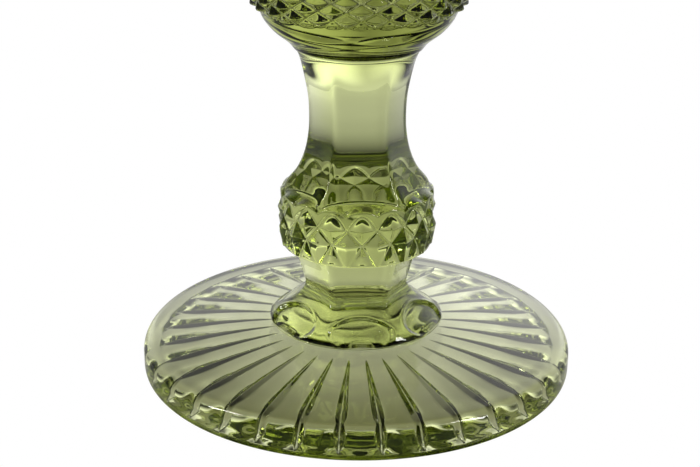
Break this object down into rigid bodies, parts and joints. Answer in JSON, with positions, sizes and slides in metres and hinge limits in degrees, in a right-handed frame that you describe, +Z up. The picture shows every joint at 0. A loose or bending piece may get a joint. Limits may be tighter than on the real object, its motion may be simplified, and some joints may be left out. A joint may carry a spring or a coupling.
{
  "type": "glass candlestick",
  "caption": "Pressed green glass candlestick: round foot with radial grooves, six-sided stem with a diamond knop, and a lattice cup that takes a dinner candle or a tealight.",
  "frame": {"origin": "centre of the foot's resting ring, on the surface it stands on", "axes": "+Z up along the stem, towards the candle; -Y is the front"},
  "size_m": [0.11, 0.11, 0.136],
  "materials": {
    "foot_glass": "clear olive green pressed glass, fire polished",
    "stem_glass": "clear olive green pressed glass, fire polished",
    "cup_glass": "clear olive green pressed glass, fire polished",
    "bond": "clear cured adhesive film"
  },
  "bodies": {
    "root": {"foot": "foot_glass", "foot_bond": "bond", "stem": "stem_glass", "cup_bond": "bond", "candle_cup": "cup_glass"}
  },
  "joints": []
}
